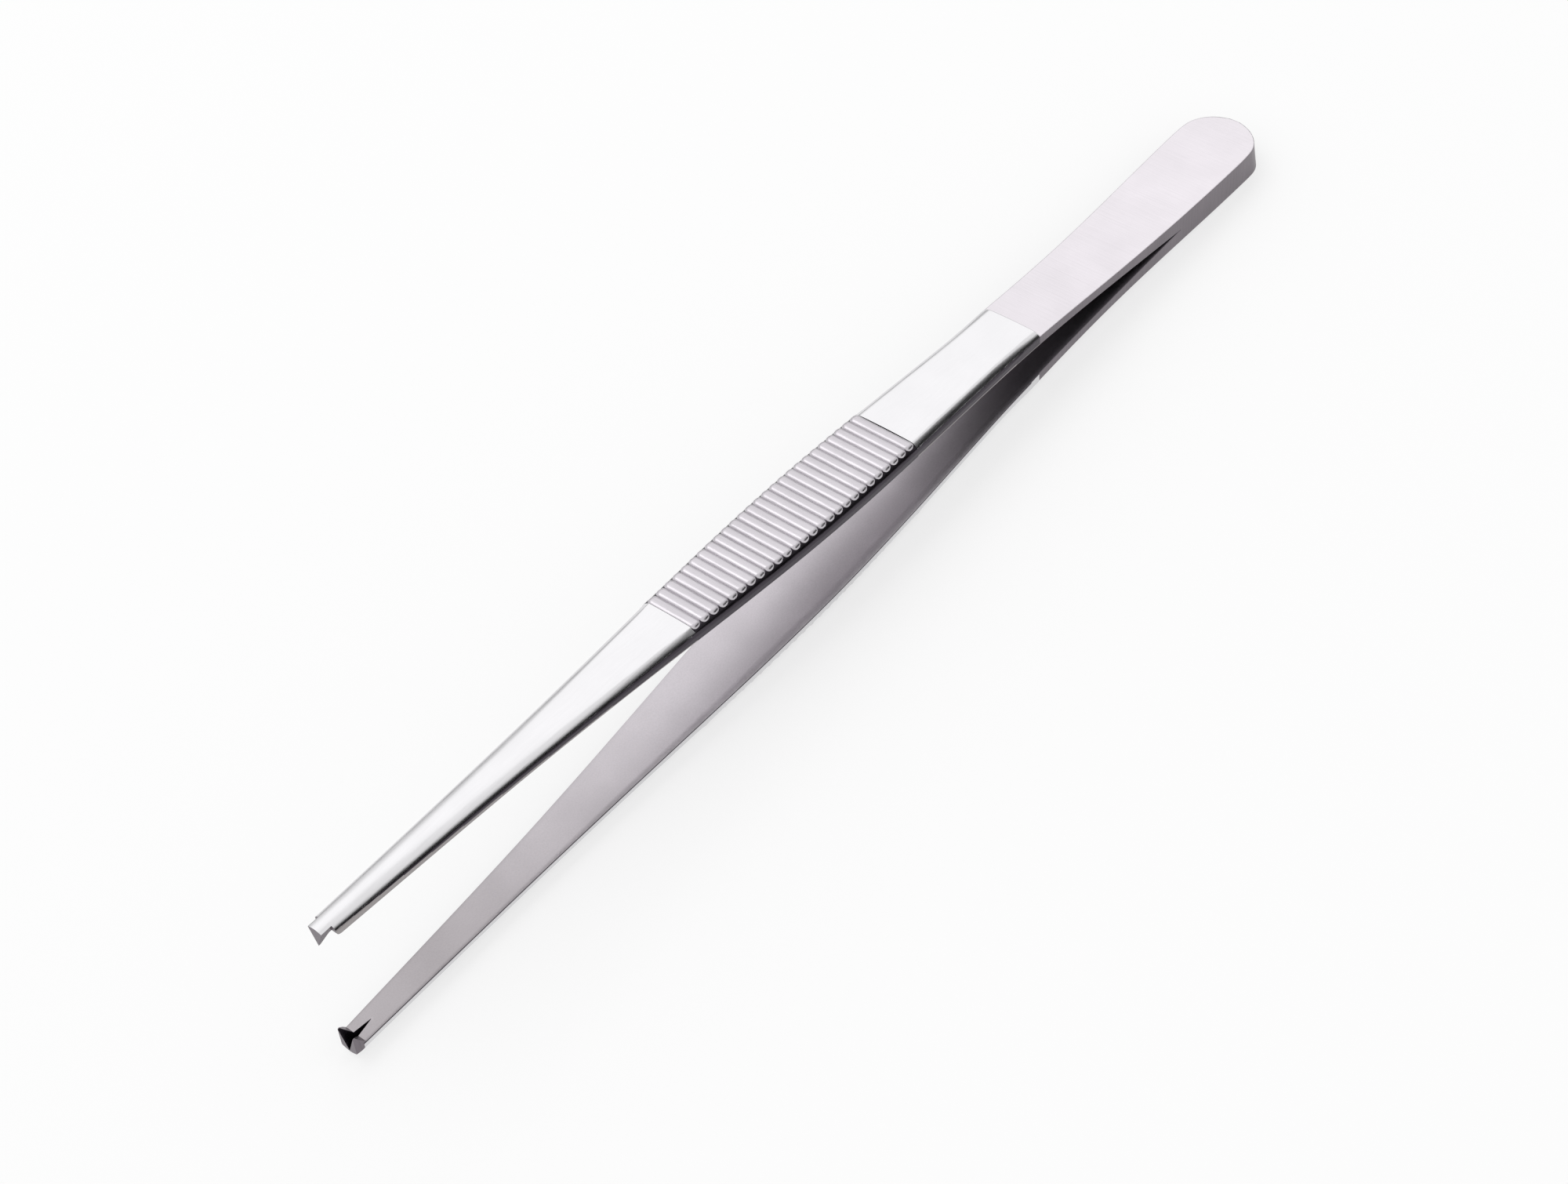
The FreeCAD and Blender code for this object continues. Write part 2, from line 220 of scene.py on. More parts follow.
class ArmLines:
    """The lines that an arm is drawn by. A station is a distance from the heel end."""

    def __init__(self, sizes, heel_roundness=(0.0, 0.0)):
        s = self.sizes = sizes
        self.heel_roundness = heel_roundness
        spring_middle = (s.weld_length + s.blade_length) / 2
        self.grip_start = s.blade_length + s.shank_length
        self.grip_end = self.grip_start + s.rib_count * s.rib_pitch
        grip_middle = (self.grip_start + self.grip_end) / 2
        nose_bend = self.grip_end + s.nose_bend_place
        self.end = self.grip_end + s.nose_length
        self.width = smooth_line([
            (s.heel_corner, s.heel_width),
            (spring_middle, s.spring_width),
            (s.blade_length, s.step_width),
            (self.grip_start + s.grip_widest_place, s.grip_width),
            (self.grip_end, s.throat_width),
            (nose_bend, s.nose_width),
            (self.end, s.tip_width),
        ], 0.0)
        self.gap = smooth_line([
            (s.weld_length, 0.0),
            (s.blade_length, s.step_gap),
            (grip_middle, s.grip_gap),
            (nose_bend, s.nose_gap),
            (self.end, s.tip_gap),
        ], s.crotch_slope)
        self.spring = smooth_line([
            (s.heel_flat_length, s.heel_thickness),
            (spring_middle, self.gap(spring_middle) + s.spring_thickness),
            (s.blade_length, s.step_gap + s.spring_thickness),
        ], 0.0)
        self.thickness = smooth_line([
            (s.blade_length, s.body_thickness),
            (grip_middle, s.body_thickness),
            (nose_bend, s.bend_thickness),
            (self.end, s.tip_thickness),
        ])

    def half_width(self, station):
        s = self.sizes
        if station >= s.heel_corner:
            return self.width(station) / 2
        along = s.heel_corner - station
        return s.heel_width / 2 - s.heel_corner + math.sqrt(s.heel_corner ** 2 - along ** 2)

    def heel_half_width(self, station, roundness):
        """The heel's end is not ground square: one rim is nearly a half circle, the other flatter."""
        half = self.half_width(station)
        circle = self.sizes.heel_width / 2
        if station >= circle:
            return half
        least = 0.5 * MM
        round_half = max(math.sqrt(circle ** 2 - (circle - station) ** 2), least)
        return half + (min(round_half, half) - half) * roundness

    def inner(self, station):
        return self.gap(station) if station > self.sizes.weld_length else 0.0

    def top_of_blade(self, station):
        return self.spring(station) if station > self.sizes.heel_flat_length else self.sizes.heel_thickness

    def crown(self, station):
        return self.gap(station) + self.thickness(station)

    def taking_shape(self, station):
        """Share of the shoulder's full form, from 0 at the step to 1."""
        share = min(max((station - self.sizes.blade_length) / self.sizes.shoulder_run, 0.0), 1.0)
        return share * share * (3 - 2 * share)

    def wall(self, station):
        s = self.sizes
        return s.spring_thickness + (s.wall_height - s.spring_thickness) * self.taking_shape(station)

    def shoulder(self, station):
        s = self.sizes
        grown = s.shoulder_at_step + (s.shoulder_width - s.shoulder_at_step) * self.taking_shape(station)
        return min(grown, self.half_width(station) - s.crown_at_tip / 2)

    def in_bed(self, station):
        return self.grip_start - SLACK < station < self.grip_end + SLACK

    def along_nose(self, station):
        return max(station - self.grip_end, 0.0) / self.sizes.nose_length

    def crown_slope(self, station):
        """How steeply the crown falls away at its edge: it is half round from the bend of the nose on."""
        s = self.sizes
        share = min(max(station - self.grip_end, 0.0) / s.nose_bend_place, 1.0)
        eased = share * share * (3 - 2 * share)
        return s.body_crown_slope + (s.nose_crown_slope - s.body_crown_slope) * eased

    def strip(self, station):
        """How high the satin strip stands on the side. The grip has none, and on the nose it grows."""
        s = self.sizes
        if self.in_bed(station):
            return 0.0
        return s.strip_at_body + (s.strip_at_tip - s.strip_at_body) * self.along_nose(station) ** 2

    def blade_side(self, station):
        """Corners of a ring on one side of the flat blade, from the inner face to the top."""
        inner_half, half = [self.heel_half_width(station, roundness) for roundness in self.heel_roundness]
        top = self.top_of_blade(station)
        return [(inner_half, self.inner(station))] + [(half * share, top) for share in BLADE_TOP]

    def body_side(self, station):
        """Corners of a ring on one side of the body, where the shoulder is nearly a quarter round."""
        half = self.half_width(station)
        base = self.inner(station)
        low = base + self.wall(station)
        run = self.shoulder(station)
        slope = self.crown_slope(station)
        high = self.crown(station) - slope * (half - run) / 2
        rise = high - low
        radius = (run ** 2 + rise ** 2) / (2 * rise)
        turn = min(math.atan2(run, radius - rise), math.pi / 2)
        reach = ROUND_GUIDE * radius * turn / (math.pi / 2)
        low_guide = (half - reach * math.cos(turn), low + reach * math.sin(turn))
        high_guide = (half - run + reach, high - slope * reach)
        return [(half, base), (half, low), low_guide, high_guide, (half - run, high)]

    def bed_side(self, station):
        """Corners of a ring on one side of the grip, where the ribs stand on a lowered floor."""
        side = self.body_side(station)
        half, low = side[WALL]
        floor = self.crown(station) - self.sizes.rib_height
        share = (floor - low) / (side[CROWN][1] - low)
        edge = half - self.shoulder(station) * (1 - math.sqrt(1 - share ** 2)) - self.sizes.bed_inset
        further_in = edge - 0.5 * MM
        return side[:SHOULDER_HIGH] + [(edge, floor), (further_in, floor)]

    def rings(self):
        """Every ring of the arm: its station, which part it belongs to, and its corners."""
        s = self.sizes
        corner_turns = [math.radians(15 * step) for step in range(7)]
        blade = [s.heel_corner * (1 - math.sin(turn)) for turn in reversed(corner_turns)]
        blade += [5 * MM, 8 * MM, 11 * MM, s.heel_flat_length, 16 * MM, 17.4 * MM, s.weld_length]
        blade += [18.6 * MM, 20.5 * MM, 24 * MM, 28 * MM, 32 * MM, 36 * MM, 40 * MM, 42.5 * MM]
        blade.append(s.blade_length)
        shank = [s.blade_length + s.shoulder_run * share for share in (0.0, 0.15, 0.35, 0.6, 0.85, 1.1)]
        shank += [56 * MM, 60 * MM, 63.5 * MM, self.grip_start]
        bed = list(np.linspace(self.grip_start, self.grip_end, 9))
        nose = list(np.linspace(self.grip_end, self.end, 13))
        drawn = [(station, "blade", self.blade_side) for station in blade]
        drawn += [(station, "body", self.body_side) for station in shank]
        drawn += [(station, "bed", self.bed_side) for station in bed]
        drawn += [(station, "body", self.body_side) for station in nose]
        result = []
        for station, part, side_of in drawn:
            near = [Vector((-station, y, z)) for y, z in side_of(station)]
            far = [Vector((corner.x, -corner.y, corner.z)) for corner in reversed(near)]
            top = self.crown(station) if part == "body" else near[CROWN].z
            result.append((station, part, [*near, Vector((-station, 0, top)), *far]))
        return result


def deselect_all():
    if bpy.context.object and bpy.context.object.mode != "OBJECT":
        bpy.ops.object.mode_set(mode="OBJECT")
    bpy.ops.object.select_all(action="DESELECT")


def pick(piece):
    """Makes the piece the only selected one, and the active one."""
    deselect_all()
    piece.select_set(True)
    bpy.context.view_layer.objects.active = piece


def outline_face(name, corners):
    """A face with the given corners, left in edit mode and selected."""
    deselect_all()
    bpy.ops.mesh.primitive_circle_add(vertices=len(corners), fill_type="NGON")
    piece = bpy.context.object
    piece.name = name
    for vertex, corner in zip(piece.data.vertices, corners):
        vertex.co = corner
    bpy.ops.object.mode_set(mode="EDIT")
    bpy.ops.mesh.select_all(action="SELECT")
    return piece


def finish_edit():
    """Turns every face outwards and leaves edit mode."""
    bpy.ops.mesh.select_all(action="SELECT")
    bpy.ops.mesh.normals_make_consistent(inside=False)
    bpy.ops.object.mode_set(mode="OBJECT")


def prism(name, corners, along):
    """The outline, extruded along a vector."""
    piece = outline_face(name, corners)
    bpy.ops.mesh.extrude_region_move(TRANSFORM_OT_translate={"value": along})
    finish_edit()
    return piece


def combine(piece, tool, operation):
    """Joins, cuts or trims the piece with the tool, which is used up."""
    pick(piece)
    modifier = piece.modifiers.new("Cut", "BOOLEAN")
    modifier.operation = operation
    modifier.solver = "EXACT"
    modifier.object = tool
    bpy.ops.object.modifier_apply(modifier=modifier.name)
    bpy.data.objects.remove(tool)


def extrude_rings(name, rings):
    """A bar extruded from the first ring through all the others, with each corner set in place."""
    bar = outline_face(name, rings[0])
    for before, after in zip(rings, rings[1:]):
        bpy.ops.mesh.extrude_region_move()
        mesh = bmesh.from_edit_mesh(bar.data)
        for vertex in [v for v in mesh.verts if v.select]:
            nearest = min(range(len(before)), key=lambda i: (vertex.co - before[i]).length_squared)
            vertex.co = after[nearest]
        bmesh.update_edit_mesh(bar.data)
    bpy.ops.mesh.select_all(action="SELECT")
    bpy.ops.mesh.remove_doubles(threshold=0.001 * MM)
    finish_edit()
    return bar


def crease_edges(bar, rings):
    """Marks the edges that stay sharp when the bar is smoothed."""
    mesh = bmesh.new()
    mesh.from_mesh(bar.data)
    mark = mesh.edges.layers.float.new("crease_edge")
    corner_at = {tuple(round(value, 6) for value in vertex.co): vertex for vertex in mesh.verts}

    def crease(first, second):
        ends = [corner_at[tuple(round(value, 6) for value in point)] for point in (first, second)]
        edge = mesh.edges.get(ends) if ends[0] != ends[1] else None
        if edge:
            edge[mark] = 1.0

    last = len(rings[0][2]) - 1
    for (station, part, ring), (next_station, next_part, next_ring) in zip(rings, rings[1:]):
        kept = {"blade": (INNER, WALL), "body": (INNER, WALL), "bed": (INNER, WALL, SHOULDER_HIGH)}[part]
        for corner in kept:
            crease(ring[corner], next_ring[corner])
            crease(ring[last - corner], next_ring[last - corner])
        if next_station - station < 0.001 * MM:
            for loop in (ring, next_ring):
                for corner in range(WALL, last - WALL):
                    crease(loop[corner], loop[corner + 1])
    heel_end, tip_end = rings[0][2], rings[-1][2]
    for corner in range(WALL, last - WALL):
        crease(heel_end[corner], heel_end[corner + 1])
    crease(heel_end[INNER], heel_end[last - INNER])
    for corner in range(last + 1):
        crease(tip_end[corner], tip_end[(corner + 1) % (last + 1)])
    mesh.to_mesh(bar.data)
    mesh.free()


def smooth_bar(bar):
    """Subdivides the bar, and makes the flat end of the tip one face, ready for the teeth."""
    pick(bar)
    modifier = bar.modifiers.new("Smooth", "SUBSURF")
    modifier.levels = 3
    modifier.render_levels = 3
    bpy.ops.object.modifier_apply(modifier=modifier.name)
    bpy.ops.object.mode_set(mode="EDIT")
    bpy.ops.mesh.select_mode(type="FACE")
    bpy.ops.mesh.select_all(action="DESELECT")
    mesh = bmesh.from_edit_mesh(bar.data)
    for face in mesh.faces:
        face.select_set(face.normal.x < -0.99)
    bmesh.update_edit_mesh(bar.data)
    bpy.ops.mesh.dissolve_faces()
    bpy.ops.object.mode_set(mode="OBJECT")


def soften_edges(bar, lines):
    """Rounds the sharp edges a little, as tumbling does.

    The weld seam is ground flush, the tip's end is ground sharp and the bed lies hidden under the
    ribs, so those edges stay as they are.
    """
    s = lines.sizes

    def kept_sharp(end):
        past_body = -end.x > lines.grip_start - SLACK
        return past_body and end.z > lines.inner(-end.x) + s.wall_height / 2

    pick(bar)
    bpy.ops.object.mode_set(mode="EDIT")
    bpy.ops.mesh.select_mode(type="EDGE")
    bpy.ops.mesh.select_all(action="DESELECT")
    bpy.ops.mesh.edges_select_sharp(sharpness=SHARP_TURN)
    mesh = bmesh.from_edit_mesh(bar.data)
    for edge in mesh.edges:
        ends = [vertex.co for vertex in edge.verts]
        on_seam = all(end.z < 0.001 * MM and end.x > -s.weld_length - 0.1 * MM for end in ends)
        at_tip = all(end.x < 0.01 * MM - lines.end for end in ends)
        if on_seam or at_tip or any(kept_sharp(end) for end in ends):
            edge.select_set(False)
    bmesh.update_edit_mesh(bar.data)
    bpy.ops.mesh.bevel(offset=s.edge_round, offset_type="OFFSET", segments=2, profile=0.5, affect="EDGES",
                       clamp_overlap=False)
    bpy.ops.mesh.select_mode(type="VERT")
    finish_edit()


def assign_finishes(bar, lines, side_polished):
    """Which faces were brushed, polished or only ground: told by their place and the way they face.
    Sideways faces of body and nose above the strip, all of the grip, and a thin line low on the
    lower arm's polished side get painted shade instead.
    """
    for face in bar.data.polygons:
        station = -face.center.x
        if face.normal.z < -0.5:
            face.material_index = SATIN
        elif face.normal.x < -0.9:
            # The end of the tip
            face.material_index = EDGE
        elif station < lines.sizes.blade_length - SLACK:
            face.material_index = HEEL if face.normal.z > 0.5 else EDGE
        else:
            height = face.center.z - lines.inner(station)
            # Painted shade: a thin dark line low on the lower arm's side, which is otherwise polished
            if side_polished:
                face.material_index = SIDE_IN_PAINTED_SHADE if height < lines.sizes.painted_shade_line else POLISH
            elif height < lines.strip(station):
                face.material_index = STRIP
            # Painted shade on sideways faces of body and nose, and on all of the grip
            elif abs(face.normal.z) < 0.55 or lines.in_bed(station):
                face.material_index = SIDE_IN_PAINTED_SHADE
            else:
                face.material_index = POLISH


def clean_tip(bar, lines):
    """Merges the slivers that the cuts leave at the tip."""
    pick(bar)
    bpy.ops.object.mode_set(mode="EDIT")
    bpy.ops.mesh.select_mode(type="VERT")
    bpy.ops.mesh.select_all(action="DESELECT")
    mesh = bmesh.from_edit_mesh(bar.data)
    for vertex in mesh.verts:
        vertex.select_set(vertex.co.x < 2 * MM - lines.end)
    bmesh.update_edit_mesh(bar.data)
    bpy.ops.mesh.remove_doubles(threshold=0.006 * MM)
    finish_edit()


def model_rib(lines):
    """One cross rib: a bar with rounded ends and a rounded rim."""
    s = lines.sizes
    reach = s.grip_width / 2 - s.rib_end_inset
    flatten = s.rib_drop / s.rib_round
    depth = (s.rib_stand + s.rib_height + s.rib_root) / flatten
    deselect_all()
    bpy.ops.mesh.primitive_cube_add(size=1, location=(0, 0, -depth / 2),
                                    scale=(s.rib_pitch + s.rib_lap, 2 * reach, depth))
    bpy.ops.object.transform_apply(location=True, rotation=False, scale=True)
    rib = bpy.context.object
    rib.name = "rib"
    bpy.ops.object.mode_set(mode="EDIT")
    bpy.ops.mesh.select_mode(type="EDGE")
    bpy.ops.mesh.select_all(action="DESELECT")
    mesh = bmesh.from_edit_mesh(rib.data)
    for edge in mesh.edges:
        ends = [vertex.co for vertex in edge.verts]
        edge.select_set(abs(ends[0].z - ends[1].z) > depth / 2)
    bmesh.update_edit_mesh(rib.data)
    nearly_half_round = 0.43 * s.rib_pitch
    bpy.ops.mesh.bevel(offset=nearly_half_round, segments=6, profile=0.5, affect="EDGES")
    bpy.ops.mesh.select_mode(type="FACE")
    bpy.ops.mesh.select_all(action="DESELECT")
    mesh = bmesh.from_edit_mesh(rib.data)
    for face in mesh.faces:
        face.select_set(face.normal.z > 0.9)
    bmesh.update_edit_mesh(rib.data)
    bpy.ops.mesh.region_to_loop()
    bpy.ops.mesh.bevel(offset=s.rib_round, segments=5, profile=0.5, affect="EDGES")
    bpy.ops.mesh.select_mode(type="VERT")
    bpy.ops.mesh.select_all(action="SELECT")
    bpy.ops.transform.resize(value=(1, 1, flatten), center_override=(0, 0, 0))
    finish_edit()
    add_finishes(rib)
    for face in rib.data.polygons:
        face.material_index = RIBS
    return rib, reach


def add_ribs(bar, lines):
    """The rib, copied along the grip: each copy is as long as the arm is wide there."""
    s = lines.sizes
    rib, reach = model_rib(lines)
    copies = []
    for index in range(s.rib_count):
        spot = lines.grip_start + (index + 0.5) * s.rib_pitch
        copy = rib.copy()
        copy.data = rib.data.copy()
        bpy.context.collection.objects.link(copy)
        longer = lines.half_width(spot) - s.rib_end_inset - reach
        for vertex in copy.data.vertices:
            vertex.co.y += longer if vertex.co.y > 0 else -longer
        ahead, behind = spot + s.rib_pitch / 2, spot - s.rib_pitch / 2
        lean = math.atan2(lines.crown(ahead) - lines.crown(behind), s.rib_pitch)
        rise = Vector((-spot, 0, lines.crown(spot) + s.rib_stand))
        copy.data.transform(Matrix.Translation(rise) @ Matrix.Rotation(lean, 4, "Y"))
        copies.append(copy)
    bpy.data.objects.remove(rib)
    pick(bar)
    for copy in copies:
        copy.select_set(True)
    bpy.ops.object.join()


def tip_point(lines, back, side, inward):
    """A point near the tip: back from the end, to the side, and towards the other arm."""
    return Vector((back - lines.end, side, lines.sizes.tip_gap - inward))


def cut_corners(arm, lines):
    """Takes the slivers off both corners of the tip."""
    s = lines.sizes
    front = lines.half_width(lines.end) - s.corner_cut_width
    back = lines.half_width(lines.end - s.corner_cut_length)
    lean = (back - front) / s.corner_cut_length
    deep = s.body_thickness + s.twin_height + 2 * PAST
    top = -s.body_thickness - PAST
    for side in (-1, 1):
        corners = [
            tip_point(lines, -PAST, side * (front - lean * PAST), top),
            tip_point(lines, s.corner_cut_length + PAST, side * (back + lean * PAST), top),
            tip_point(lines, -PAST, side * (back + lean * PAST), top),
        ]
        combine(arm, prism("corner", corners, (0, 0, -deep)), "DIFFERENCE")


def tooth_block(lines, height, half):
    """The raised end that the teeth are ground from."""
    s = lines.sizes
    root = -TOOTH_ROOT * s.tip_thickness
    corners = [(0, root), (0, height), (s.tooth_crest, height), (s.tooth_foot, 0), (s.tooth_foot, root)]
    outline = [tip_point(lines, back, -half, inward) for back, inward in corners]
    return prism("tooth", outline, (0, 2 * half, 0))


def shape_single_tooth(arm, lines):
    """Grinds the flanks of the tip away, so that its middle runs on as one pointed tooth."""
    s = lines.sizes
    half = lines.half_width(lines.end)
    combine(arm, tooth_block(lines, s.tooth_height, half * 0.6), "UNION")
    slant = math.tan(s.tooth_flank)
    root = -s.body_thickness - PAST
    wide = slant * (s.tooth_height - root)
    section = [(0, s.tooth_height), (wide, root), (-wide, root)]
    wedge = prism("wedge", [tip_point(lines, -2 * PAST, side, inward) for side, inward in section],
                  (s.flank_relief + s.relief_round + 4 * PAST, 0, 0))
    middle = (s.flank_relief + s.relief_round, -s.relief_round)
    outline = [
        (s.flank_relief + s.relief_round, s.tooth_height + PAST),
        (-PAST, s.tooth_height + PAST),
        (-PAST, root),
        (s.flank_relief, root),
    ]
    for step in range(7):
        turn = math.radians(15 * step)
        outline.append((
            middle[0] - s.relief_round * math.cos(turn), middle[1] + s.relief_round * math.sin(turn),
        ))
    relief = prism("relief", [tip_point(lines, back, -s.tip_width, inward) for back, inward in outline],
                   (0, 2 * s.tip_width, 0))
    combine(relief, wedge, "DIFFERENCE")
    combine(arm, relief, "DIFFERENCE")
    cut_corners(arm, lines)


def shape_twin_teeth(arm, lines):
    """Raises the end of the tip and splits it by a notch that runs out along the inner face."""
    s = lines.sizes
    half = lines.half_width(lines.end)
    combine(arm, tooth_block(lines, s.twin_height, half), "UNION")
    slant = math.tan(s.tooth_flank)
    bottom = -s.tooth_height - s.notch_clearance
    height = s.twin_height + PAST - bottom
    run_out = s.tip_gap - lines.inner(lines.end - s.notch_length)
    lean = (run_out - bottom) / s.notch_length
    low = bottom - lean * PAST
    # Half of the flat that the grinding wheel's rim leaves at the bottom
    wheel = 0.03 * MM
    open_half = wheel + slant * height
    section = [(-wheel, low), (wheel, low), (open_half, low + height), (-open_half, low + height)]
    reach = s.notch_length + 2 * PAST
    notch = prism("notch", [tip_point(lines, -PAST, side, inward) for side, inward in section],
                  (reach, 0, -lean * reach))
    # The notch's faces get painted shade
    for face in notch.data.polygons:
        face.material_index = SIDE_IN_PAINTED_SHADE
    combine(arm, notch, "DIFFERENCE")
    # The flanks' grinding starts in front of the tip and runs out at the back of the teeth
    spread = s.twin_flank_cut / s.tooth_foot
    start = half - spread * PAST
    for side in (-1, 1):
        section = [
            (side * start, -s.relief_round),
            (side * (start - s.twin_flank_cut), s.twin_height),
            (side * (start - s.twin_flank_cut), s.twin_height + PAST),
            (side * (half + PAST), s.twin_height + PAST),
            (side * (half + PAST), -s.relief_round),
        ]
        reach = PAST + s.tooth_foot + s.relief_round
        combine(arm, prism("flank", [tip_point(lines, -PAST, across, inward) for across, inward in section],
                           (reach, side * spread * reach, 0)), "DIFFERENCE")
    cut_corners(arm, lines)


def add_finishes(piece):
    """The same slots on the bar and on its ribs, so that they stay the same when joined."""
    for name, finish in FINISHES:
        piece.data.materials.append(bpy.data.materials.get(name) or finish(name))


def model_arm(name, shape_tip, heel_roundness, side_polished):
    """A whole arm: bar, ribs and tip, drawn with its inner face towards the weld plane."""
    lines = ArmLines(bpy.context.scene.forceps_sizes, heel_roundness)
    rings = lines.rings()
    bar = extrude_rings(name, [ring for station, part, ring in rings])
    crease_edges(bar, rings)
    smooth_bar(bar)
    soften_edges(bar, lines)
    assign_finishes(bar, lines, side_polished)
    add_finishes(bar)
    shape_tip(bar, lines)
    clean_tip(bar, lines)
    add_ribs(bar, lines)
    return bar


def lay_down(arm, node):
    """Lays the arm where its CAD solid lies and lets it stand for that solid."""
    s = bpy.context.scene.forceps_sizes
    heel_end = max(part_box("upper_arm")[1].x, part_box("lower_arm")[1].x) - s.heel_thickness * math.sin(s.lean)
    place = Vector((heel_end, 0, s.heel_thickness * math.cos(s.lean)))
    arm.data.transform(Matrix.Translation(place) @ Matrix.Rotation(s.lean, 4, "Y"))
    pick(arm)
    bpy.ops.object.shade_smooth_by_angle(angle=CRISP_TURN)
    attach(arm, "root")
    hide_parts(node)


def new_material(name):
    material = bpy.data.materials.new(name)
    material.use_nodes = True
    material.node_tree.nodes.clear()
    return material


def add_node(tree, kind, settings=None, links=None):
    """Adds a node. Settings name its properties or input sockets, links its inputs and what feeds them."""
    node = tree.nodes.new(kind)
    for key, value in (settings or {}).items():
        if key in node.inputs:
            node.inputs[key].default_value = value
        else:
            setattr(node, key, value)
    for key, source in (links or {}).items():
        tree.links.new(source, node.inputs[key])
    return node


def ground_steel(name, colour_value, roughness, spread, line_size, line_depth, line_tint, mottle, tones=()):
    """Martensitic stainless steel with the marks of its last grinding or polishing.

    line_size is the size in metres of the marks along X, Y and Z. spread, line_depth and line_tint
    are how much the marks change the roughness, the surface and the colour, and mottle how much
    the finish varies over some millimetres. tones are colours that blend into each other along
    the arm, each with its place along X.
    """
    material = new_material(name)
    tree = material.node_tree
    place = add_node(tree, "ShaderNodeTexCoord").outputs["Object"]
    stretch = add_node(tree, "ShaderNodeMapping", {"Scale": [1 / size for size in line_size]},
                       {"Vector": place})
    marks = add_node(tree, "ShaderNodeTexNoise", {"Scale": 1.0, "Detail": 3.0, "Roughness": 0.6},
                     {"Vector": stretch.outputs["Vector"]})
    cloud = add_node(tree, "ShaderNodeTexNoise", {"Scale": 1 / (5 * MM), "Detail": 2.0}, {"Vector": place})
    worn = add_node(tree, "ShaderNodeMapRange", {
        "From Min": 0.3, "From Max": 0.7, "To Min": roughness - spread, "To Max": roughness + spread,
    }, {"Value": marks.outputs["Fac"]})
    line_shade = add_node(tree, "ShaderNodeMapRange", {
        "From Min": 0.3, "From Max": 0.7, "To Min": 1 - line_tint, "To Max": 1.0,
    }, {"Value": marks.outputs["Fac"]})
    cloud_shade = add_node(tree, "ShaderNodeMapRange", {
        "From Min": 0.3, "From Max": 0.7, "To Min": 1 - mottle, "To Max": 1.0,
    }, {"Value": cloud.outputs["Fac"]})
    both = add_node(tree, "ShaderNodeMath", {"operation": "MULTIPLY"})
    tree.links.new(line_shade.outputs["Result"], both.inputs[0])
    tree.links.new(cloud_shade.outputs["Result"], both.inputs[1])
    shade = add_node(tree, "ShaderNodeMix", {"data_type": "RGBA", "blend_type": "MULTIPLY"})
    shade.inputs[MIX_SHARE].default_value = 1.0
    shade.inputs[MIX_A].default_value = (*colour_value, 1.0)
    tree.links.new(both.outputs[0], shade.inputs[MIX_B])
    if tones:
        start, end = tones[0][0], tones[-1][0]
        along = add_node(tree, "ShaderNodeSeparateXYZ", links={"Vector": place})
        share = add_node(tree, "ShaderNodeMapRange", {"From Min": start, "From Max": end},
                         {"Value": along.outputs["X"]})
        ramp = add_node(tree, "ShaderNodeValToRGB", links={"Fac": share.outputs["Result"]})
        stops = ramp.color_ramp.elements
        for spot, tone in tones[1:-1]:
            stops.new((spot - start) / (end - start))
        for stop, (spot, tone) in zip(stops, tones):
            stop.color = (*tone, 1.0)
        tree.links.new(ramp.outputs["Color"], shade.inputs[MIX_A])
    relief = add_node(tree, "ShaderNodeBump", {"Strength": line_depth, "Distance": 0.05 * MM},
                      {"Height": marks.outputs["Fac"]})
    shader = add_node(tree, "ShaderNodeBsdfPrincipled", {"Metallic": 1.0}, {
        "Base Color": shade.outputs[MIX_RESULT],
        "Roughness": worn.outputs["Result"],
        "Normal": relief.outputs["Normal"],
    })
    add_node(tree, "ShaderNodeOutputMaterial", links={"Surface": shader.outputs["BSDF"]})
    return material


def satin_steel(name):
    """Inner faces: blasted with fine grit, an even grey sheen. Painted light and shade blend along the
    arm: the tone is painted lighter along the grip and body than near the teeth, and darker into the
    crotch, where the arms shade each other."""
    colours = bpy.context.scene.forceps_colours
    # Painted light and shade along the arm: lighter along grip and body, darker towards the teeth and into the
    # crotch
    tones = (
        (-60 * MM, colours.satin_tip),
        (-25 * MM, colours.satin),
        (8 * MM, colours.satin),
        (28 * MM, colours.satin_crotch_painted_shade),
    )
    return ground_steel(name, colours.satin, roughness=0.42, spread=0.06,
                        line_size=(0.16 * MM, 0.16 * MM, 0.16 * MM), line_depth=0.15,
                        line_tint=0.14, mottle=0.08, tones=tones)


def ground_edge_and_painted_shade(name):
    """Sides of heel and spring, and the ground teeth: belt ground across and rougher, and darker, partly as
    painted shade where the sides mirror shade.
    """
    return ground_steel(name, bpy.context.scene.forceps_colours.edge, roughness=0.38, spread=0.05,
                        line_size=(0.22 * MM, 0.22 * MM, 4 * MM), line_depth=0.6,
                        line_tint=0.18, mottle=0.12)


def heel_steel(name):
    """Heel and spring: brushed across, so that fine streaks of light run from side to side."""
    return ground_steel(name, bpy.context.scene.forceps_colours.heel, roughness=0.34, spread=0.06,
                        line_size=(0.22 * MM, 7 * MM, 7 * MM), line_depth=0.35,
                        line_tint=0.08, mottle=0.05)


def strip_steel(name):
    """Side strip of body and nose: satin ground along the arm, lighter than the painted shade on the side above
    it.
    """
    return ground_steel(name, bpy.context.scene.forceps_colours.strip, roughness=0.36, spread=0.05,
                        line_size=(5 * MM, 0.2 * MM, 0.2 * MM), line_depth=0.5,
                        line_tint=0.10, mottle=0.06)


